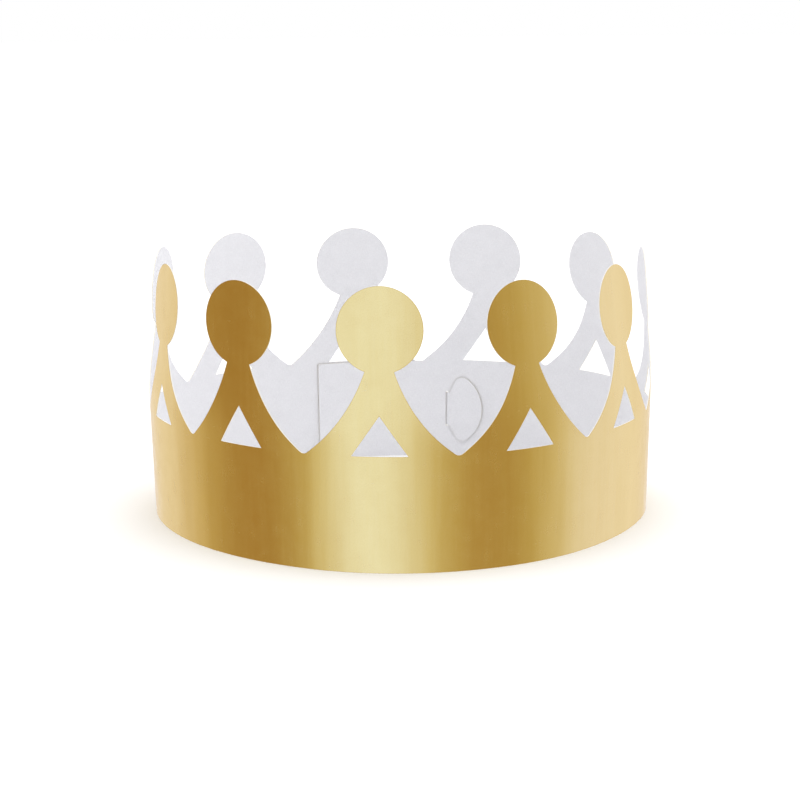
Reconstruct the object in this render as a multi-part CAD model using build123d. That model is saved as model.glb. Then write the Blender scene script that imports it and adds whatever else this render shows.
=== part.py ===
from build123d import *
from math import acos, asin, atan, atan2, cos, degrees, pi, radians, sin, sqrt, tan
import os

# A paper crown. One sheet of foil card has a plain head band below and a row of ball-topped
# points above. It is bent into a ring and closed at the back by its own tongue, which passes
# through a slit in the band and spreads out on the inside.
#
# Millimetres and degrees. +Z is up, the front point faces -Y and the closure is at +Y.
# The origin is on the surface that the crown stands on, in the middle of its footprint.
#
# A bend is followed by place: x, y and heading along the band's bottom edge, which runs
# anticlockwise seen from above. In a place's own frame, +X is along the band, +Y is inwards.

# The card
card_thickness = 0.4
layer_clearance = 0.25

# The band and its points, as cut
point_count = 11
point_pitch = 52.85
band_height = 40.0
ball_radius = 14.75
ball_centre_height = 82.9
neck_width = 10.0
flank_hollow = 2.9

# The triangular window at each point's foot
window_width = 19.3
window_sill = 0.6
window_height = 13.7

# The ends that close the ring
slit_from_valley = 10.25
slit_length = 14.4
slit_side_clearance = 0.25
slit_end_clearance = 0.3
tongue_from_valley = 13.25
tongue_length = 14.85
tongue_width = 29.4
tongue_shoulder = 5.0
tongue_shoulder_radius = 3.5
tongue_fold_radius = 1.1
inner_end_length = 43.6

# The bend into a ring: how unevenly the card takes it, and where it is tightest
bend_unevenness = 0.277
bend_phase = 24.3
band_flare = 1.2

# The points: each leans in over a short bend above the band, loses a share of the band's own
# bend by its neck and turns a little. They are listed from the outer end to the inner end.
lean_bend = 18.0
neck_flatness = 0.35
point_leans = (10.5, 4.5, 4.0, 4.0, 0.4, 6.4, 7.5, 5.9, 3.9, 3.4, 1.7)
point_turns = (-4.3, -5.0, 0.3, -1.3, 3.2, -0.2, 2.5, 0.8, 0.7, -3.9, 10.2)

half_card = card_thickness / 2
layer_step = card_thickness + layer_clearance
closing_gap = tongue_from_valley - slit_from_valley
girth = point_count * point_pitch + closing_gap
wall_slope = band_flare / band_height
closure_height = band_height / 2
points_left = point_count // 2
points_right = (point_count - 1) // 2
neck_height = ball_centre_height - sqrt(ball_radius**2 - (neck_width / 2) ** 2)


def walk(place, radius, distance):
    """Place reached along a bend. A positive radius bends inwards, a negative distance goes back."""
    x, y, heading = place
    new_heading = heading + distance / radius
    x += radius * (sin(new_heading) - sin(heading))
    y -= radius * (cos(new_heading) - cos(heading))
    return x, y, new_heading


def shift_outwards(place, distance):
    """Place moved straight out of the ring."""
    x, y, heading = place
    return x + distance * sin(heading), y - distance * cos(heading), heading


def frame_at(place):
    """Frame of a place, standing on the bottom edge."""
    x, y, heading = place
    return Location((x, y, 0), (0, 0, degrees(heading)))


def heading_at(distance):
    """Heading of the bottom edge at a distance from the front: a ring pressed three-cornered."""
    turn = 2 * pi * distance / girth
    phase = radians(bend_phase)
    return turn + bend_unevenness / 3 * (sin(3 * turn - phase) + sin(phase))


def bend_radius(index):
    """Bend radius of one point's stretch. The left half is larger, so its end lies outside."""
    start, end = (index - 0.5) * point_pitch, (index + 0.5) * point_pitch
    radius = point_pitch / (heading_at(end) - heading_at(start))
    if index < 0:
        return radius + layer_step / 4
    if index > 0:
        return radius - layer_step / 4
    return radius


def lay_out():
    """Middle place of each point's stretch, and the places of the ring's two ends."""
    front = (0.0, -girth / (2 * pi), 0.0)
    middles = {0: front}
    ends = []
    for side, count in ((-1, points_left), (1, points_right)):
        place = walk(front, bend_radius(0), side * point_pitch / 2)
        for step in range(1, count + 1):
            radius = bend_radius(side * step)
            middles[side * step] = walk(place, radius, side * point_pitch / 2)
            place = walk(place, radius, side * point_pitch)
        ends.append(place)
    return middles, ends[0], ends[1]


def wall(radius, start, end, low=0.0, high=band_height, level=0.0):
    """Upright card between two distances along a bend, in that bend's frame.

    The wall leans out like the band's. The radius and the frame are those at the given level.
    """
    low_out, high_out = wall_slope * (low - level), wall_slope * (high - level)
    profile = make_face(
        Plane.YZ
        * Polyline(
            (-half_card - low_out, low),
            (half_card - low_out, low),
            (half_card - high_out, high),
            (-half_card - high_out, high),
            close=True,
        )
    )
    axis = Axis((0, radius, 0), (0, 0, 1))
    angles = sorted((degrees(start / radius), degrees(end / radius)))
    return revolve(profile.rotate(axis, angles[0]), axis, angles[1] - angles[0])


def strip_section(half_width, curvature, straight_sides=False):
    """Cross-section of the card, bent inwards by a curvature, on the XY plane.

    Its ends are square to the bent card, or both parallel to its middle's normal.
    """
    if curvature == 0:
        return make_face(Rectangle(2 * half_width, card_thickness).wire())
    radius = 1 / curvature
    outer, inner = radius + half_card, radius - half_card
    outer_end = asin(half_width / outer) if straight_sides else half_width * curvature
    inner_end = asin(half_width / inner) if straight_sides else half_width * curvature

    def on_arc(radial, angle):
        return radial * sin(angle), radius - radial * cos(angle)

    return make_face(
        [
            ThreePointArc(on_arc(outer, -outer_end), on_arc(outer, 0), on_arc(outer, outer_end)),
            Line(on_arc(outer, outer_end), on_arc(inner, inner_end)),
            ThreePointArc(on_arc(inner, inner_end), on_arc(inner, 0), on_arc(inner, -inner_end)),
            Line(on_arc(inner, -inner_end), on_arc(outer, -outer_end)),
        ]
    )


def flank(share, valley_half):
    """Half width and height of a point's hollow side, from the valley at 0 to the neck at 1."""
    run, rise = neck_width / 2 - valley_half, neck_height - band_height
    length = sqrt(run**2 + rise**2)
    bulge = 4 * flank_hollow * share * (1 - share) / length
    return valley_half + share * run - bulge * rise, band_height + share * rise + bulge * run


def lean_at(height, slope):
    """Outward offset and slope of a point's centre line, which ends leaning in at a slope."""
    above = height - band_height
    bent = min(above, lean_bend)
    offset = band_flare + wall_slope * bent - (wall_slope + slope) * bent**2 / (2 * lean_bend)
    offset -= slope * (above - bent)
    return offset, wall_slope - (wall_slope + slope) * bent / lean_bend


def stem_and_ball(radius, lean, turn):
    """One point above the valley level: a stem that flattens as it rises, and its ball."""
    valley_radius = radius + band_flare
    valley_half = valley_radius * point_pitch / (2 * radius)
    sections = []
    for share in (0, 0.25, 0.5, 0.75, 1):
        half_width, height = flank(share, valley_half)
        rise = (height - band_height) / (neck_height - band_height)
        eased = rise**2 * (3 - 2 * rise)
        offset, slope = lean_at(height, tan(radians(lean)))
        tilt = degrees(atan(slope)) if share > 0 else 0
        frame = Location((0, -offset, height)) * Rot(Z=turn * eased) * Rot(X=tilt)
        curvature = (1 - neck_flatness * eased) / valley_radius
        sections.append(frame * strip_section(half_width, curvature, share == 1))
    stem = loft(sections)
    centre = sqrt(ball_radius**2 - (neck_width / 2) ** 2)
    neck_right, neck_left = (neck_width / 2, 0), (-neck_width / 2, 0)
    rim = ThreePointArc(neck_right, (0, centre + ball_radius), neck_left)
    disc = make_face([rim, Line(neck_left, neck_right)])
    prism = extrude(Plane.XZ * disc, ball_radius, both=True)
    ball = extrude(strip_section(ball_radius + card_thickness, curvature), 2 * ball_radius) & prism
    return stem + frame * ball


def window():
    """Prism of the triangular window at a point's foot."""
    sill = band_height + window_sill
    corners = ((-window_width / 2, sill), (window_width / 2, sill), (0, sill + window_height))
    return extrude(Plane.XZ * make_face(Polyline(*corners, close=True)), ball_radius, both=True)


def point(index):
    """Stretch of band with its point, in the frame of its middle."""
    radius = bend_radius(index)
    order = index + points_left
    lean, turn = point_leans[order % len(point_leans)], point_turns[order % len(point_turns)]
    band = wall(radius, -point_pitch / 2, point_pitch / 2)
    return band + stem_and_ball(radius, lean, turn) - window()


def tongue(outer_end):
    """Outer end of the sheet, from its last valley: a strip, a folded neck and a broad head.

    The neck crosses from the outside of the band to the inside in two equal bends. Their centres
    and the centre of the band's own bend make a triangle, which gives how far each one turns.
    """
    strip_radius = bend_radius(points_right) + layer_step
    outer_radius = strip_radius + wall_slope * closure_height
    inner_radius = outer_radius - 2 * layer_step
    fold = tongue_fold_radius
    far, near, apart = outer_radius - fold, inner_radius + fold, 2 * fold
    span = acos((far**2 + near**2 - apart**2) / (2 * far * near))
    first_turn = pi - acos((far**2 + apart**2 - near**2) / (2 * far * apart))
    second_turn = first_turn - span
    crossing = atan2(near * sin(span), far + near * cos(span))

    to_slit = closing_gap + slit_from_valley * strip_radius / bend_radius(points_right)
    strip_length = to_slit - strip_radius * crossing
    strip = frame_at(outer_end) * wall(strip_radius, -strip_length, 0)

    low, high = closure_height - neck_half(), closure_height + neck_half()
    at_fold = shift_outwards(walk(outer_end, strip_radius, -strip_length), wall_slope * closure_height)
    first = frame_at(at_fold) * wall(fold, -fold * first_turn, 0, low, high, closure_height)
    at_middle = walk(at_fold, fold, -fold * first_turn)
    second = frame_at(at_middle) * wall(-fold, -fold * second_turn, 0, low, high, closure_height)
    at_head = walk(at_middle, -fold, -fold * second_turn)
    head = frame_at(at_head) * tongue_head(inner_radius, inner_radius * (span - crossing))

    slope_at_crossing = first_turn - crossing
    reach = half_card * (1 / sin(slope_at_crossing) + 1 / tan(slope_at_crossing))
    return strip + first + second + head, 2 * (reach + slit_side_clearance)


def neck_half():
    """Half height of the tongue's neck, which has room at both ends of the slit."""
    return slit_length / 2 - slit_end_clearance


def tongue_head(radius, neck_reach):
    """Mushroom-shaped head of the tongue, which lies against the inside of the band."""
    tip = tongue_length - neck_reach
    shoulder = (tip - tongue_length + tongue_shoulder, tongue_width / 2)
    half = make_face(
        [
            Line((0, 0), (0, neck_half())),
            Line((0, neck_half()), shoulder),
            TangentArc((tip, 0), shoulder, tangent=(0, 1)),
            Line((tip, 0), (0, 0)),
        ]
    )
    outline = half + mirror(half, Plane.XZ)
    corners = outline.vertices().filter_by(lambda v: abs(v.Y) > tongue_width / 2 - half_card)
    outline = fillet(corners, tongue_shoulder_radius)
    prism = extrude(Plane.XZ * Pos(0, closure_height) * mirror(outline, Plane.YZ), tongue_width, both=True)
    low, high = closure_height - tongue_width / 2, closure_height + tongue_width / 2
    return wall(radius, -tip, 0, low, high, closure_height) & prism


def slit(inner_end, width):
    """Prism of the slit beside the first valley of the inner end."""
    radius = bend_radius(points_right)
    place = walk(inner_end, radius, -slit_from_valley)
    return frame_at(place) * Pos(0, 0, closure_height) * Box(width, tongue_width, slit_length)


def inner_strip(inner_end):
    """Plain end of the band, which runs on inside the outer end."""
    radius = bend_radius(-points_left) - layer_step
    return frame_at(inner_end) * wall(radius, 0, inner_end_length)


def crown_sheet():
    """The whole sheet, with its origin in the middle of its footprint."""
    middles, outer_end, inner_end = lay_out()
    points = {index: frame_at(place) * point(index) for index, place in middles.items()}
    outer, slit_width = tongue(outer_end)
    points[points_right] -= slit(inner_end, slit_width)
    sheet = outer
    for index in sorted(points):
        sheet += points[index]
    sheet += inner_strip(inner_end)
    box = sheet.bounding_box()
    return Pos(-box.center().X, -box.center().Y, -box.min.Z) * sheet


os.makedirs("parts", exist_ok=True)
export_step(crown_sheet(), "parts/crown_sheet.step")
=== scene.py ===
from math import acos, asin, atan, atan2, ceil, cos, hypot, inf, pi, radians, sin, sqrt, tan

import bmesh
import bpy
from mathutils import Matrix, Vector, geometry, kdtree


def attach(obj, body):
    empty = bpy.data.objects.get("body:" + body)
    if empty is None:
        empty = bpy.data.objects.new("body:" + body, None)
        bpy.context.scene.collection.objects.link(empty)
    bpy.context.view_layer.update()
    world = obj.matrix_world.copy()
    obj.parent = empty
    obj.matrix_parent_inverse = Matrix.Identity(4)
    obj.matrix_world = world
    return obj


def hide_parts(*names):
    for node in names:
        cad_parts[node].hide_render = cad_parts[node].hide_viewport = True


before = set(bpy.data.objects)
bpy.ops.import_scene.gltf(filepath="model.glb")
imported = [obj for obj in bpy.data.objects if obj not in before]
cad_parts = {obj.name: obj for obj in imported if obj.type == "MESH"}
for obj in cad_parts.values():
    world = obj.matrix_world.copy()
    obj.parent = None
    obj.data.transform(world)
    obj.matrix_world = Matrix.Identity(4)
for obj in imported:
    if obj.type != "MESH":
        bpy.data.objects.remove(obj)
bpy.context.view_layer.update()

# A crown cut from one sheet of foil card. The sheet's flat blank is triangulated first: x along
# the sheet, measured on the band's bottom edge from the front point, z up. Every point of it is
# then bent into the ring, once for the outer face and once for the inner one. Lengths are in
# millimetres until the mesh is written in metres, in the frame's own axes.
#
# A bend is followed by place: x, y and heading along the band's bottom edge, which runs
# anticlockwise seen from above. The front point faces -Y and the closure is at +Y.

MM = 0.001

# The card
CARD_THICKNESS = 0.4
LAYER_CLEARANCE = 0.25

# The band and its points, as cut
POINT_COUNT = 11
POINT_PITCH = 52.85
BAND_HEIGHT = 40.0
BALL_RADIUS = 14.75
BALL_HEIGHT = 82.9
NECK_WIDTH = 10.0
FLANK_HOLLOW = 2.9
VALLEY_RADIUS = 2.2

# The triangular window at each point's foot
WINDOW_WIDTH = 19.3
WINDOW_SILL = 0.6
WINDOW_HEIGHT = 13.7

# The ends that close the ring
SLIT_FROM_VALLEY = 10.25
SLIT_LENGTH = 14.4
SLIT_SIDE_CLEARANCE = 0.25
SLIT_END_CLEARANCE = 0.3
TONGUE_FROM_VALLEY = 13.25
TONGUE_LENGTH = 14.85
TONGUE_WIDTH = 29.4
TONGUE_SHOULDER = 5.0
SHOULDER_RADIUS = 3.5
FOLD_RADIUS = 1.1
INNER_END = 43.6

# The bend into a ring: how unevenly the card takes it, how often round, and where it is tightest
UNEVENNESS = 0.277
CORNERS = 3
PHASE = radians(24.3)
FLARE = 1.2

# The points: each leans in over a short bend above the band, loses a share of the band's own
# bend by its neck and turns a little. They are listed from the outer end to the inner end.
LEAN_BEND = 18.0
NECK_FLATNESS = 0.35
LEANS = (10.5, 4.5, 4.0, 4.0, 0.4, 6.4, 7.5, 5.9, 3.9, 3.4, 1.7)
TURNS = (-4.3, -5.0, 0.3, -1.3, 3.2, -0.2, 2.5, 0.8, 0.7, -3.9, 10.2)
# The share of a point's rise over which its faces come to follow its slope
TILT_SHARE = 0.125

HALF_CARD = CARD_THICKNESS / 2
LAYER_STEP = CARD_THICKNESS + LAYER_CLEARANCE
POINTS_LEFT, POINTS_RIGHT = POINT_COUNT // 2, (POINT_COUNT - 1) // 2
CLOSING_GAP = TONGUE_FROM_VALLEY - SLIT_FROM_VALLEY
GIRTH = POINT_COUNT * POINT_PITCH + CLOSING_GAP
HALF_SHEET = (POINTS_LEFT + 0.5) * POINT_PITCH
WALL_SLOPE = FLARE / BAND_HEIGHT
MID_BAND = BAND_HEIGHT / 2
NECK_HEIGHT = BALL_HEIGHT - sqrt(BALL_RADIUS**2 - (NECK_WIDTH / 2) ** 2)
TONGUE_NECK_HALF = SLIT_LENGTH / 2 - SLIT_END_CLEARANCE

# How finely the sheet is divided: a grid that stays clear of the edges, steps along the edges,
# and columns and rows of points across the tongue's folded neck
GRID = 1.7
EDGE_MARGIN = 0.75
EDGE_STEP = 0.8
SHOULDER_STEP = EDGE_STEP / 1.5
FOLD_STEP = FOLD_RADIUS / 8
FOLD_COLUMNS = 16
FOLD_ROWS = 6

# How the flat blank is triangulated: only inside its outline, and points this near are one
INSIDE_OUTLINE = 1
SAME_POINT = 1e-5


def walk(place, radius, distance):
    """Place reached along a bend. A positive radius bends inwards, a negative distance goes back."""
    x, y, heading = place
    new_heading = heading + distance / radius
    x += radius * (sin(new_heading) - sin(heading))
    y -= radius * (cos(new_heading) - cos(heading))
    return x, y, new_heading


def heading_at(distance):
    """Heading of the bottom edge at a distance from the front: a ring pressed three-cornered."""
    turn = 2 * pi * distance / GIRTH
    return turn + UNEVENNESS / CORNERS * (sin(CORNERS * turn - PHASE) + sin(PHASE))


def bend_radius(index):
    """Bend radius of one point's stretch. The left half is larger, so its end lies outside."""
    start, end = (index - 0.5) * POINT_PITCH, (index + 0.5) * POINT_PITCH
    side = (index > 0) - (index < 0)
    return POINT_PITCH / (heading_at(end) - heading_at(start)) - side * LAYER_STEP / 4


def lay_out():
    """Middle place of each point's stretch, and the places of the ring's two ends."""
    front = (0.0, -GIRTH / (2 * pi), 0.0)
    middles, ends = {0: front}, []
    for side, count in ((-1, POINTS_LEFT), (1, POINTS_RIGHT)):
        place = walk(front, bend_radius(0), side * POINT_PITCH / 2)
        for step in range(1, count + 1):
            radius = bend_radius(side * step)
            middles[side * step] = walk(place, radius, side * POINT_PITCH / 2)
            place = walk(place, radius, side * POINT_PITCH)
        ends.append(place)
    return middles, ends[0], ends[1]


middles, outer_end, inner_end = lay_out()


def on_wall(place, radius, distance, height, out, level=0.0):
    """Point of an upright, slightly flared wall that bends on from a place at the given level."""
    x, y, heading = walk(place, radius, distance)
    away = WALL_SLOPE * (height - level) + out
    return Vector((x + away * sin(heading), y - away * cos(heading), height))


class Closure:
    """Stretches of the outer end, from its last valley: strip, two folds and the tongue's head.

    The neck crosses from the outside of the band to the inside in two equal bends. Their centres
    and the centre of the band's own bend make a triangle, which gives how far each one turns.
    """

    def __init__(self):
        band_radius = bend_radius(POINTS_RIGHT)
        strip_radius = band_radius + LAYER_STEP
        outer_radius = strip_radius + WALL_SLOPE * MID_BAND
        inner_radius = outer_radius - 2 * LAYER_STEP
        far, near, apart = outer_radius - FOLD_RADIUS, inner_radius + FOLD_RADIUS, 2 * FOLD_RADIUS
        span = acos((far**2 + near**2 - apart**2) / (2 * far * near))
        first_turn = pi - acos((far**2 + apart**2 - near**2) / (2 * far * apart))
        second_turn = first_turn - span
        crossing = atan2(near * sin(span), far + near * cos(span))

        # on the blank: the strip's length, where the head starts and how far its tip is from there
        to_slit = CLOSING_GAP + SLIT_FROM_VALLEY * strip_radius / band_radius
        first, second = FOLD_RADIUS * first_turn, FOLD_RADIUS * second_turn
        self.strip = to_slit - strip_radius * crossing
        self.head_start = HALF_SHEET + self.strip + first + second
        self.tip = TONGUE_LENGTH - inner_radius * (span - crossing)

        slope = first_turn - crossing
        reach = HALF_CARD * (1 / sin(slope) + 1 / tan(slope))
        self.slit_width = 2 * (reach + SLIT_SIDE_CLEARANCE)

        x, y, heading = walk(outer_end, strip_radius, -self.strip)
        out = WALL_SLOPE * MID_BAND
        at_first = (x + out * sin(heading), y - out * cos(heading), heading)
        at_second = walk(at_first, FOLD_RADIUS, -first)
        at_head = walk(at_second, -FOLD_RADIUS, -second)
        # length, place, radius and level of each stretch
        self.stretches = (
            (self.strip, outer_end, strip_radius, 0.0),
            (first, at_first, FOLD_RADIUS, MID_BAND),
            (second, at_second, -FOLD_RADIUS, MID_BAND),
            (inf, at_head, inner_radius, MID_BAND),
        )

    def point(self, along, height, out):
        """Point at a distance along the blank beyond the outer end's last valley."""
        for length, place, radius, level in self.stretches:
            if along <= length:
                return on_wall(place, radius, -along, height, out, level)
            along -= length


closure = Closure()


def widening(index):
    """How much longer the flared band is at the valleys than along its bottom edge."""
    return 1 + FLARE / bend_radius(index)


def lean_at(height, slope):
    """Outward offset and slope of a point's centre line, which ends leaning in at a slope."""
    above = height - BAND_HEIGHT
    bent = min(above, LEAN_BEND)
    offset = FLARE + WALL_SLOPE * bent - (WALL_SLOPE + slope) * bent**2 / (2 * LEAN_BEND)
    offset -= slope * (above - bent)
    return offset, WALL_SLOPE - (WALL_SLOPE + slope) * bent / LEAN_BEND


def on_point(index, along, height, out):
    """Point of one stem or ball, which flattens as it rises."""
    section = min(height, NECK_HEIGHT)
    rise = (section - BAND_HEIGHT) / (NECK_HEIGHT - BAND_HEIGHT)
    eased = rise**2 * (3 - 2 * rise)
    curvature = (1 - NECK_FLATNESS * eased) / (bend_radius(index) + FLARE)
    offset, slope = lean_at(section, tan(radians(LEANS[index + POINTS_LEFT])))
    angle = along * widening(index) * curvature
    x, y = sin(angle) / curvature, (1 - cos(angle)) / curvature
    local = Vector((x + out * sin(angle), y - out * cos(angle), height - section))
    tilt = Matrix.Rotation(atan(slope) * min(1, rise / TILT_SHARE), 3, "X")
    turn = Matrix.Rotation(radians(TURNS[index + POINTS_LEFT]) * eased, 3, "Z")
    local = turn @ tilt @ local + Vector((0, -offset, section))
    middle_x, middle_y, heading = middles[index]
    return Matrix.Rotation(heading, 3, "Z") @ local + Vector((middle_x, middle_y, 0))


def bend(flat_x, height, out):
    """Point of the ring for a point of the flat blank, moved out by a distance."""
    if flat_x < -HALF_SHEET:
        return closure.point(-flat_x - HALF_SHEET, height, out)
    if flat_x > HALF_SHEET:
        radius = bend_radius(-POINTS_LEFT) - LAYER_STEP
        return on_wall(inner_end, radius, flat_x - HALF_SHEET, height, out)
    index = max(-POINTS_LEFT, min(POINTS_RIGHT, round(flat_x / POINT_PITCH)))
    along = flat_x - index * POINT_PITCH
    if height <= BAND_HEIGHT:
        return on_wall(middles[index], bend_radius(index), along, height, out)
    return on_point(index, along, height, out)


def polyline(start, end, step=EDGE_STEP):
    """Points from start up to, but without, end."""
    run, rise = end[0] - start[0], end[1] - start[1]
    count = max(1, ceil(hypot(run, rise) / step))
    return [(start[0] + run * k / count, start[1] + rise * k / count) for k in range(count)]


def ring_of(corners):
    """Points along straight edges from corner to corner and back to the first."""
    return [p for a, b in zip(corners, corners[1:] + corners[:1]) for p in polyline(a, b)]


def flank(share, valley_half):
    """Half width and height of a point's hollow side, from the valley at 0 to the neck at 1."""
    run, rise = NECK_WIDTH / 2 - valley_half, NECK_HEIGHT - BAND_HEIGHT
    bulge = 4 * FLANK_HOLLOW * share * (1 - share) / hypot(run, rise)
    return valley_half + share * run - bulge * rise, BAND_HEIGHT + share * rise + bulge * run


def point_side(valley_half, is_round):
    """Half widths and heights up a hollow side. A valley between two points has a round bottom."""
    steps = ceil(hypot(POINT_PITCH / 2, NECK_HEIGHT - BAND_HEIGHT) / EDGE_STEP)
    near_half, near_height = flank(1 / steps, valley_half)
    slope = atan2(near_height - BAND_HEIGHT, valley_half - near_half)
    side = []
    for k in range(steps):
        half, height = flank(k / steps, valley_half)
        away = valley_half - half
        if is_round and away < VALLEY_RADIUS * sin(slope):
            height = BAND_HEIGHT + VALLEY_RADIUS / cos(slope) - sqrt(VALLEY_RADIUS**2 - away**2)
        side.append((half, height))
    return side


def point_outline(index):
    """Top edge of one point on the blank, from its right valley to its left one."""
    scale = widening(index)
    valley_half = POINT_PITCH / 2 * scale
    open_half = asin(NECK_WIDTH / 2 / BALL_RADIUS)
    turns = ceil(2 * (pi - open_half) * BALL_RADIUS / EDGE_STEP)
    ball = []
    for k in range(turns + 1):
        angle = open_half + 2 * (pi - open_half) * k / turns
        ball.append((BALL_RADIUS * sin(angle), BALL_HEIGHT - BALL_RADIUS * cos(angle)))
    right = point_side(valley_half, index < POINTS_RIGHT)
    left = [(-half, height) for half, height in reversed(point_side(valley_half, index > -POINTS_LEFT))]
    middle = index * POINT_PITCH
    return [(middle + x / scale, height) for x, height in right + ball + left[:-1]]


def tongue_outline():
    """Upper edge of the tongue's head on the blank, from its neck to its tip."""
    tip = closure.tip
    shoulder = Vector((tip - TONGUE_LENGTH + TONGUE_SHOULDER, TONGUE_WIDTH / 2))
    reach = tip - shoulder.x
    radius = (reach**2 + shoulder.y**2) / (2 * reach)
    centre = Vector((tip - radius, 0))
    neck = Vector((0, TONGUE_NECK_HALF))
    along = (shoulder - neck).normalized()
    inward = Vector((along.y, -along.x))
    # the round corner's centre is its radius inside both the line and the arc
    base = neck + inward * SHOULDER_RADIUS - centre
    half_b = base.dot(along)
    run = -half_b + sqrt(half_b**2 - base.length_squared + (radius - SHOULDER_RADIUS) ** 2)
    corner = neck + inward * SHOULDER_RADIUS + along * run
    on_line = neck + along * run
    to_arc = (corner - centre).normalized()
    first = atan2(on_line.y - corner.y, on_line.x - corner.x)
    last = atan2(to_arc.y, to_arc.x)
    points = polyline(neck, on_line)
    steps = ceil((first - last) * SHOULDER_RADIUS / SHOULDER_STEP)
    for k in range(steps + 1):
        angle = first + (last - first) * k / steps
        points.append((corner.x + SHOULDER_RADIUS * cos(angle), corner.y + SHOULDER_RADIUS * sin(angle)))
    steps = ceil(last * radius / EDGE_STEP)
    for k in range(1, steps + 1):
        angle = last * (1 - k / steps)
        points.append((centre.x + radius * cos(angle), centre.y + radius * sin(angle)))
    return [(-(closure.head_start + x), MID_BAND + y) for x, y in points]


def blank_outline():
    """The whole blank's edge, anticlockwise from the lower corner of its outer end."""
    right = HALF_SHEET + INNER_END
    left = -HALF_SHEET - closure.strip
    neck_end = -closure.head_start
    low, high = MID_BAND - TONGUE_NECK_HALF, MID_BAND + TONGUE_NECK_HALF
    edge = polyline((left, 0), (right, 0)) + polyline((right, 0), (right, BAND_HEIGHT))
    edge += polyline((right, BAND_HEIGHT), (HALF_SHEET, BAND_HEIGHT))
    for index in range(POINTS_RIGHT, -POINTS_LEFT - 1, -1):
        edge += point_outline(index)
    edge += polyline((-HALF_SHEET, BAND_HEIGHT), (left, BAND_HEIGHT))
    edge += polyline((left, BAND_HEIGHT), (left, high))
    edge += polyline((left, high), (neck_end, high), FOLD_STEP)
    upper = tongue_outline()
    edge += upper + [(x, 2 * MID_BAND - z) for x, z in reversed(upper[:-1])]
    edge += polyline((neck_end, low), (left, low), FOLD_STEP)[1:] + polyline((left, low), (left, 0))
    return edge


def window_outline(index):
    """Edge of the triangular window at one point's foot."""
    half, sill = WINDOW_WIDTH / 2 / widening(index), BAND_HEIGHT + WINDOW_SILL
    middle = index * POINT_PITCH
    return ring_of([(middle - half, sill), (middle + half, sill), (middle, sill + WINDOW_HEIGHT)])


def slit_outline():
    """Edge of the slit that the tongue goes through."""
    middle, half = HALF_SHEET - SLIT_FROM_VALLEY, closure.slit_width / 2
    left, right = middle - half, middle + half
    low, high = MID_BAND - SLIT_LENGTH / 2, MID_BAND + SLIT_LENGTH / 2
    return ring_of([(left, low), (right, low), (right, high), (left, high)])


def inside(x, z, hole):
    """Whether a point lies in a hole: a ray to the right crosses its edge an odd number of times."""
    if abs(x - hole[0][0]) > POINT_PITCH:
        return False
    odd = False
    for (ax, az), (bx, bz) in zip(hole, hole[1:] + hole[:1]):
        if (az > z) != (bz > z) and x < ax + (z - az) * (bx - ax) / (bz - az):
            odd = not odd
    return odd


def inner_points(edge_points):
    """Points of a square grid, clear of the blank's edges, and finer ones across the tongue's neck."""
    border = {(round(x / EDGE_MARGIN), round(z / EDGE_MARGIN)) for x, z in edge_points}

    def near_border(x, z):
        column, row = round(x / EDGE_MARGIN), round(z / EDGE_MARGIN)
        return any((column + a, row + b) in border for a in (-1, 0, 1) for b in (-1, 0, 1))

    points = []
    reach = HALF_SHEET + INNER_END
    for column in range(ceil(2 * reach / GRID) + 1):
        x = column * GRID - reach
        for row in range(1, ceil((BALL_HEIGHT + BALL_RADIUS) / GRID)):
            z = row * GRID
            if not near_border(x, z):
                points.append((x, z))
    fold_start, fold_end = HALF_SHEET + closure.strip, closure.head_start
    for column in range(FOLD_COLUMNS + 1):
        x = -(fold_start + (fold_end - fold_start) * column / FOLD_COLUMNS)
        for row in range(-FOLD_ROWS, FOLD_ROWS + 1):
            points.append((x, MID_BAND + row * TONGUE_NECK_HALF / (FOLD_ROWS + 1)))
    return points


def triangulate():
    """Points and triangles of the flat blank."""
    holes = [slit_outline()] + [window_outline(i) for i in range(-POINTS_LEFT, POINTS_RIGHT + 1)]
    points, edges = [], []
    for loop in [blank_outline()] + holes:
        first = len(points)
        points += loop
        edges += [(first + k, first + (k + 1) % len(loop)) for k in range(len(loop))]
    points += inner_points(points)
    places = [Vector(p) for p in points]
    result = geometry.delaunay_2d_cdt(places, edges, [], INSIDE_OUTLINE, SAME_POINT)
    flat = [(v.x, v.y) for v in result[0]]

    def is_card(triangle):
        x, z = (sum(flat[k][axis] for k in triangle) / 3 for axis in (0, 1))
        return not any(inside(x, z, hole) for hole in holes)

    card = [t for t in result[2] if is_card(t)]
    kept = sorted({k for t in card for k in t})
    number = {k: n for n, k in enumerate(kept)}
    return [flat[k] for k in kept], [tuple(number[k] for k in t) for t in card]


flat_points, triangles = triangulate()
print("blank:", len(flat_points), "points", len(triangles), "triangles")

# The sheet's material slots, and the angle from which an edge between two faces stays sharp
FOIL_FACE, PAPER_FACE, CUT_FACE = 0, 1, 2
SHARP_ANGLE = radians(40)


def cut_sides():
    """Sides that only one triangle has, which is where the card was cut."""
    sides = [side for a, b, c in triangles for side in ((a, b), (b, c), (c, a))]
    every_side = set(sides)
    return [(start, end) for start, end in sides if (end, start) not in every_side]


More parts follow.
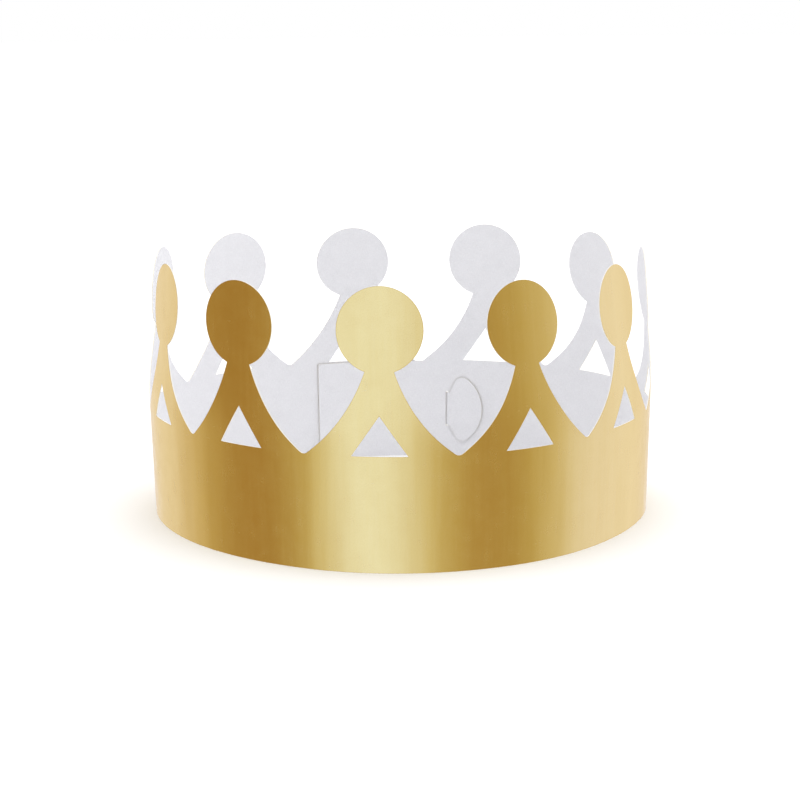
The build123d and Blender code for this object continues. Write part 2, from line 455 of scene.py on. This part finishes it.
def add_layout(mesh, rim):
    """Place on the blank, distance from its edge and depth in the card, for the materials.

    Each attribute is filled before the next is made, because a new one moves those before it.
    """
    border = sorted({k for side in rim for k in side})
    tree = kdtree.KDTree(len(border))
    for k in border:
        tree.insert((*flat_points[k], 0), k)
    tree.balance()
    from_edge = [tree.find((x, z, 0))[2] for x, z in flat_points]
    blank = mesh.attributes.new("blank", "FLOAT_VECTOR", "POINT")
    blank.data.foreach_set("vector", [value for x, z in flat_points * 2 for value in (x, z, 0.0)])
    edge = mesh.attributes.new("from_edge", "FLOAT", "POINT")
    edge.data.foreach_set("value", from_edge * 2)
    depth = mesh.attributes.new("depth", "FLOAT", "POINT")
    depth.data.foreach_set("value", [0.0] * len(flat_points) + [1.0] * len(flat_points))


def build_sheet():
    """The bent sheet and its footprint's middle in the ring's own frame.

    The sheet is one closed mesh: foil face outside, paper face inside, cut edge between.
    """
    outer = [bend(x, z, HALF_CARD) for x, z in flat_points]
    inner = [bend(x, z, -HALF_CARD) for x, z in flat_points]
    bent = outer + inner
    low = Vector((min(p.x for p in bent), min(p.y for p in bent), 0))
    high = Vector((max(p.x for p in bent), max(p.y for p in bent), 0))
    middle = (low + high) / 2
    vertices = [(p - middle) * MM for p in bent]
    count = len(flat_points)
    faces, slots = [], []
    for a, b, c in triangles:
        faces += [(a, b, c), (c + count, b + count, a + count)]
        slots += [FOIL_FACE, PAPER_FACE]
    rim = cut_sides()
    for start, end in rim:
        faces.append((end, start, start + count, end + count))
        slots.append(CUT_FACE)
    mesh = bpy.data.meshes.new("crown_foil_sheet")
    mesh.from_pydata(vertices, [], faces)
    mesh.polygons.foreach_set("material_index", slots)
    add_layout(mesh, rim)
    mesh.polygons.foreach_set("use_smooth", [True] * len(faces))
    mesh.set_sharp_from_angle(angle=SHARP_ANGLE)
    mesh.update()
    mesh.validate()
    piece = bpy.data.objects.new("crown_foil_sheet", mesh)
    bpy.context.scene.collection.objects.link(piece)
    return piece, middle


crown, footprint_middle = build_sheet()

# Where raw noise mostly lies, and a mix node's sockets for colours
NOISE_LOW, NOISE_HIGH = 0.34, 0.66
MIX_SHARE, MIX_FIRST, MIX_SECOND, MIX_RESULT = 0, 6, 7, 2


def new_material(name):
    """An empty procedural material: itself, its nodes and its shader."""
    made = bpy.data.materials.new(name)
    made.use_nodes = True
    return made, made.node_tree, made.node_tree.nodes["Principled BSDF"]


def set_inputs(tree, node, inputs):
    """Gives a node's inputs numbers, colours or other nodes' outputs."""
    for name, value in inputs.items():
        if isinstance(value, bpy.types.NodeSocket):
            tree.links.new(value, node.inputs[name])
        else:
            node.inputs[name].default_value = value


def add_node(tree, kind, inputs, output=0, **settings):
    """One output of a new node, the first unless another is asked for."""
    node = tree.nodes.new(kind)
    for name, value in settings.items():
        setattr(node, name, value)
    set_inputs(tree, node, inputs)
    return node.outputs[output]


def sheet_value(tree, name):
    """A number that the mesh carries at each of its points."""
    return add_node(tree, "ShaderNodeAttribute", {}, "Fac", attribute_name=name)


def spread(tree, value, start=0.0, end=1.0, low=0.0, high=1.0, **settings):
    """Value carried from one range to another and held at its ends."""
    inputs = {"Value": value, "From Min": start, "From Max": end, "To Min": low, "To Max": high}
    return add_node(tree, "ShaderNodeMapRange", inputs, **settings)


def noise(tree, size, stretch=(1.0, 1.0), detail=2.0, roughness=0.5):
    """Noise that runs from about 0 to 1, with blotches of about the given size in millimetres.

    The stretch is along the sheet and up it: below 1 draws the blotches out, above 1 narrows them.
    """
    blank = add_node(tree, "ShaderNodeAttribute", {}, "Vector", attribute_name="blank")
    place = add_node(tree, "ShaderNodeMapping", {"Vector": blank, "Scale": (*stretch, 1.0)})
    inputs = {"Vector": place, "Scale": 1 / size, "Detail": detail, "Roughness": roughness}
    raw = add_node(tree, "ShaderNodeTexNoise", inputs)
    return spread(tree, raw, NOISE_LOW, NOISE_HIGH, clamp=False)


def combine(tree, operation, first, second=0.0):
    """Result of one arithmetic operation. Those on one value pass over the second."""
    return add_node(tree, "ShaderNodeMath", {0: first, 1: second}, operation=operation)


def total(tree, first, *others):
    """Sum of several values."""
    for other in others:
        first = combine(tree, "ADD", first, other)
    return first


def blend(tree, share, first, second):
    """Colour between two others."""
    inputs = {MIX_SHARE: share, MIX_FIRST: first, MIX_SECOND: second}
    return add_node(tree, "ShaderNodeMix", inputs, MIX_RESULT, data_type="RGBA")


def tinted(tree, tone, *layers):
    """Tone with other colours laid over it in turn, each by its own share."""
    for share, colour in layers:
        tone = blend(tree, share, tone, colour)
    return tone


def bumps(tree, *layers):
    """Normal bent by several height fields, each with its own depth in millimetres."""
    inputs = {}
    for height, depth in layers:
        inputs |= {"Height": height, "Distance": depth * MM, "Strength": 1.0}
        inputs["Normal"] = add_node(tree, "ShaderNodeBump", inputs)
    return inputs["Normal"]


# Colours of the foil: its two tones, its fine streaks, pits and scuffs, a painted shade along its cut
# rim and the card where it is chipped, and its mirror colour seen along the surface
FOIL_DEEP = (0.775, 0.59, 0.255, 1)
FOIL_BRIGHT = (0.825, 0.645, 0.30, 1)
FOIL_STREAK = (0.90, 0.78, 0.48, 1)
FOIL_PIT = (0.66, 0.47, 0.18, 1)
FOIL_SCUFF = (0.92, 0.84, 0.62, 1)
FOIL_RIM_PAINTED_SHADE = (0.50, 0.34, 0.12, 1)
FOIL_CHIPPED = (0.84, 0.80, 0.70, 1)
FOIL_GRAZING = (0.97, 0.87, 0.64, 1)

# Colours of the card's back: its two tones, fibres both ways, flecks and a darker rim along the cut
PAPER_DARK = (0.735, 0.732, 0.758, 1)
PAPER_LIGHT = (0.761, 0.758, 0.784, 1)
PAPER_FIBRE = (0.635, 0.626, 0.64, 1)
PAPER_CROSSING = (0.845, 0.845, 0.86, 1)
PAPER_FLECK = (0.60, 0.575, 0.54, 1)
PAPER_RIM = (0.56, 0.55, 0.55, 1)

# Colours of the cut edge: the core's two tones and the line of foil
CORE_DARK = (0.75, 0.73, 0.675, 1)
CORE_LIGHT = (0.87, 0.85, 0.795, 1)
CORE_FOIL = (0.72, 0.52, 0.20, 1)

# How metallic the foil's line on the cut edge is, with the roughness of both
LINE_METAL = 0.85
CORE_ROUGHNESS, LINE_ROUGHNESS = 0.85, 0.4

# How much bare card shines, and the floor's colour and roughness
PAPER_SHINE = 0.2
FLOOR_TONE = (0.96, 0.96, 0.96, 1)
FLOOR_ROUGHNESS = 0.95


def gold_foil():
    """Bright metal foil laid on the card: faint grain and scuffs, a painted shade along the cut, and
    chipped along it.
    """
    made, tree, shader = new_material("gold_foil")
    waves = noise(tree, 20.0, stretch=(1.0, 0.15))
    streaks = noise(tree, 1.6, stretch=(1.0, 0.05), detail=3.0, roughness=0.6)
    pits = noise(tree, 0.45, detail=3.0, roughness=0.6)
    scuffs = noise(tree, 2.0, stretch=(0.3, 1.0), detail=5.0, roughness=0.7)
    scuffed = spread(tree, scuffs, 1.0, 1.2)
    # a ragged distance from the cut in millimetres, which tells where painted shade darkens the foil's
    # rim and where the foil is gone
    ragged = spread(tree, noise(tree, 0.5, detail=4.0, roughness=0.65), low=-0.05, high=0.08)
    from_cut = total(tree, sheet_value(tree, "from_edge"), ragged)
    rim = spread(tree, from_cut, 0.04, 0.24, 1.0, 0.0)
    chipped = spread(tree, from_cut, -0.045, -0.025, 1.0, 0.0)
    tone = tinted(
        tree,
        blend(tree, spread(tree, waves), FOIL_DEEP, FOIL_BRIGHT),
        (spread(tree, streaks, 0.1, 0.9, high=0.08), FOIL_STREAK),
        (spread(tree, pits, 0.3, 1.0, high=0.16), FOIL_PIT),
        (combine(tree, "MULTIPLY", scuffed, 0.18), FOIL_SCUFF),
        # painted shade along the cut: darker colour standing in for the rolled cut edge mirroring darker
        # light
        (combine(tree, "MULTIPLY", rim, 0.4), FOIL_RIM_PAINTED_SHADE),
        (chipped, FOIL_CHIPPED),
    )
    rough = total(
        tree,
        spread(tree, noise(tree, 7.0, detail=4.0, roughness=0.6), low=0.195, high=0.27),
        spread(tree, streaks, low=-0.015, high=0.02),
        combine(tree, "MULTIPLY", scuffed, 0.08),
        combine(tree, "MULTIPLY", rim, 0.12),
        combine(tree, "MULTIPLY", chipped, 0.4),
    )
    inputs = {
        "Base Color": tone,
        "Roughness": rough,
        "Metallic": combine(tree, "SUBTRACT", 1.0, chipped),
        "Normal": bumps(tree, (waves, 0.09), (streaks, 0.003), (pits, 0.003), (rim, -0.02)),
        "Specular Tint": FOIL_GRAZING,
    }
    set_inputs(tree, shader, inputs)
    return made


def paper_back():
    """Uncoated pale grey back of the card: soft clouds, fine fibres, and darker along the cut."""
    made, tree, shader = new_material("paper_back")
    clouds = noise(tree, 4.5, detail=5.0, roughness=0.65)
    fibres = noise(tree, 0.4, stretch=(0.3, 1.7), detail=5.0, roughness=0.7)
    crossing = noise(tree, 0.55, stretch=(1.5, 0.4), detail=4.0, roughness=0.7)
    flecks = noise(tree, 0.8)
    tone = tinted(
        tree,
        blend(tree, spread(tree, clouds), PAPER_DARK, PAPER_LIGHT),
        (spread(tree, fibres, 0.5, 1.1, high=0.5), PAPER_FIBRE),
        (spread(tree, crossing, 0.5, 1.1, high=0.55), PAPER_CROSSING),
        (spread(tree, flecks, 1.1, 1.2, high=0.35), PAPER_FLECK),
        (spread(tree, sheet_value(tree, "from_edge"), 0.05, 0.3, 0.3, 0.0), PAPER_RIM),
    )
    inputs = {
        "Base Color": tone,
        "Roughness": spread(tree, clouds, low=0.78, high=0.9),
        "Normal": bumps(tree, (fibres, 0.02), (crossing, 0.012)),
        "Specular IOR Level": PAPER_SHINE,
    }
    set_inputs(tree, shader, inputs)
    return made


def cut_edge():
    """Pale core of the card where the die went through it, with the foil's thin line along one side."""
    made, tree, shader = new_material("cut_edge")
    drag = noise(tree, 0.2, detail=3.0, roughness=0.6)
    core = blend(tree, spread(tree, drag), CORE_DARK, CORE_LIGHT)
    ragged = spread(tree, noise(tree, 0.4), low=-0.06, high=0.06)
    depth = total(tree, sheet_value(tree, "depth"), ragged)
    line = spread(tree, depth, 0.1, 0.2, LINE_METAL, 0.0)
    inputs = {
        "Base Color": blend(tree, line, core, CORE_FOIL),
        "Roughness": spread(tree, line, 0.0, LINE_METAL, CORE_ROUGHNESS, LINE_ROUGHNESS),
        "Metallic": line,
        "Normal": bumps(tree, (drag, 0.008)),
        "Specular IOR Level": PAPER_SHINE,
    }
    set_inputs(tree, shader, inputs)
    return made


def floor_paper():
    """Plain pale studio floor."""
    made, tree, shader = new_material("floor_paper")
    inputs = {"Base Color": FLOOR_TONE, "Roughness": FLOOR_ROUGHNESS, "Specular IOR Level": 0.0}
    set_inputs(tree, shader, inputs)
    return made


for made in (gold_foil(), paper_back(), cut_edge()):
    crown.data.materials.append(made)
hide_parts("crown_sheet")
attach(crown, "root")

# Camera, as found from the photograph's outlines. Its distance and its aim are measured in the
# ring's own frame, whose origin is a little to one side of the footprint's middle.
IMAGE = 800
FOCAL_PIXELS = 2198.7
SENSOR_WIDTH = 36
CAMERA_DISTANCE = 835.35
CAMERA_ELEVATION = radians(13.824)
CAMERA_TURN = radians(5.911)
CAMERA_ROLL = radians(-0.589)
AIM = Vector((-3.02, 0, 41.66))
# The clip distances, in metres
NEAREST_SEEN, FARTHEST_SEEN = 0.01, 100


def add_camera():
    """The photograph's camera."""
    data = bpy.data.cameras.new("camera")
    data.sensor_width = SENSOR_WIDTH
    data.lens = FOCAL_PIXELS * SENSOR_WIDTH / IMAGE
    data.clip_start, data.clip_end = NEAREST_SEEN, FARTHEST_SEEN
    camera = bpy.data.objects.new("camera", data)
    bpy.context.scene.collection.objects.link(camera)
    back, above = CAMERA_DISTANCE * cos(CAMERA_ELEVATION), CAMERA_DISTANCE * sin(CAMERA_ELEVATION)
    place = Vector((0, -back, above))
    forward = (AIM - place).normalized()
    right = forward.cross(Vector((0, 0, 1))).normalized()
    up = right.cross(forward)
    rolled_right = right * cos(CAMERA_ROLL) + up * sin(CAMERA_ROLL)
    rolled_up = up * cos(CAMERA_ROLL) - right * sin(CAMERA_ROLL)
    turn = Matrix.Rotation(CAMERA_TURN, 3, "Z")
    basis = Matrix([turn @ axis for axis in (rolled_right, rolled_up, -forward)]).transposed()
    position = (turn @ place - footprint_middle) * MM
    camera.matrix_world = Matrix.Translation(position) @ basis.to_4x4()
    bpy.context.scene.camera = camera


# The floor, in metres
FLOOR_RADIUS = 6.0
FLOOR_SIDES = 96


def add_floor():
    """Round pale floor, which the foil doesn't mirror and which shades nothing."""
    mesh = bpy.data.meshes.new("floor")
    shape = bmesh.new()
    bmesh.ops.create_circle(shape, cap_ends=True, radius=FLOOR_RADIUS, segments=FLOOR_SIDES)
    shape.to_mesh(mesh)
    shape.free()
    floor = bpy.data.objects.new("floor", mesh)
    bpy.context.scene.collection.objects.link(floor)
    mesh.materials.append(floor_paper())
    floor.visible_glossy = False
    floor.visible_shadow = False


# The studio as the foil mirrors it: soft white lights on a warm dim room. Each light has the
# direction of its middle (degrees round from the front, positive to the right), the half widths
# where it is full and where it ends, and its strength.
FOIL_LIGHTS = (
    (-10.5, 0.0, 60.0, 1.0),
    (170.0, 47.0, 117.0, 1.0),
    (56.0, 0.0, 38.0, 0.09),
)
# The room's colour for an amount of light, and the brightest that a colour stop has to hold
ROOM_TONES = (
    (0.0, (0.44, 0.285, 0.095)),
    (0.25, (0.605, 0.505, 0.23)),
    (0.5, (0.785, 0.745, 0.51)),
    (1.0, (1.06, 1.22, 1.50)),
)
TONE_PEAK = 1.5
# The tint of what is mirrored behind, and the angles from the front between which it sets in
BACK_TINT = (0.96, 0.865, 0.875, 1)
BACK_FROM, BACK_FULL = radians(75), radians(115)

# The plain light on paper and floor: its strength, more of it from high up, less from one side
WHITE = (1, 1, 1, 1)
AMBIENT = 1.36
OVERHEAD = 1.25
OVERHEAD_FROM = 0.2
DIM_SIDE = (-0.42, -0.91, 0.0)
DIM_SHARE = 0.54


def room_tone(tree, light):
    """Colour of the mirrored room for an amount of light, as a share of the peak."""
    ramp = tree.nodes.new("ShaderNodeValToRGB")
    stops = ramp.color_ramp.elements
    while len(stops) < len(ROOM_TONES):
        stops.new(0.5)
    for stop, (position, colour) in zip(stops, ROOM_TONES):
        stop.position = position
        stop.color = (*(c / TONE_PEAK for c in colour), 1)
    set_inputs(tree, ramp, {0: light})
    return ramp.outputs[0]


def mirrored_studio(tree, azimuth):
    """What the foil mirrors: the soft lights and the room, by direction round the crown."""
    light = 0.0
    for middle, full, end, strength in FOIL_LIGHTS:
        turned = combine(tree, "SUBTRACT", azimuth, radians(middle))
        off = combine(tree, "ARCCOSINE", combine(tree, "COSINE", turned))
        ends = {"start": radians(full), "end": radians(end), "low": strength, "high": 0.0}
        light = total(tree, light, spread(tree, off, **ends, interpolation_type="SMOOTHSTEP"))
    behind = spread(tree, combine(tree, "ABSOLUTE", azimuth), BACK_FROM, BACK_FULL)
    colours = {0: room_tone(tree, light), 1: blend(tree, behind, WHITE, BACK_TINT)}
    colour = add_node(tree, "ShaderNodeVectorMath", colours, operation="MULTIPLY")
    return add_node(tree, "ShaderNodeBackground", {"Color": colour, "Strength": TONE_PEAK})


def plain_strength(tree, direction, up):
    """Strength of the plain light by direction."""
    pair = {0: direction, 1: DIM_SIDE}
    towards = add_node(tree, "ShaderNodeVectorMath", pair, "Value", operation="DOT_PRODUCT")
    dimmed = spread(tree, towards, low=AMBIENT, high=AMBIENT * DIM_SHARE)
    return combine(tree, "MULTIPLY", dimmed, spread(tree, up, OVERHEAD_FROM, 1.0, 1.0, OVERHEAD))


def add_world():
    """Soft studio light. The foil mirrors the studio, the camera sees plain white past the floor."""
    bpy.context.scene.view_settings.view_transform = "Standard"
    world = bpy.data.worlds.new("studio")
    bpy.context.scene.world = world
    world.use_nodes = True
    # every ray finds the background of its own kind, so the world isn't sampled as a lamp
    world.cycles.sampling_method = "NONE"
    tree = world.node_tree
    direction = add_node(tree, "ShaderNodeTexCoord", {}, "Generated")
    parts = tree.nodes.new("ShaderNodeSeparateXYZ")
    set_inputs(tree, parts, {0: direction})
    to_right, to_back, up = parts.outputs
    azimuth = combine(tree, "ARCTAN2", to_right, combine(tree, "MULTIPLY", to_back, -1.0))
    plain = tree.nodes["Background"]
    set_inputs(tree, plain, {"Color": WHITE, "Strength": plain_strength(tree, direction, up)})
    past_floor = add_node(tree, "ShaderNodeBackground", {"Color": WHITE})
    seen_by = {"Is Glossy Ray": mirrored_studio(tree, azimuth), "Is Camera Ray": past_floor}
    rays = tree.nodes.new("ShaderNodeLightPath").outputs
    shown = plain.outputs[0]
    for kind, light in seen_by.items():
        shown = add_node(tree, "ShaderNodeMixShader", {0: rays[kind], 1: shown, 2: light})
    set_inputs(tree, tree.nodes["World Output"], {"Surface": shown})


add_camera()
add_floor()
add_world()
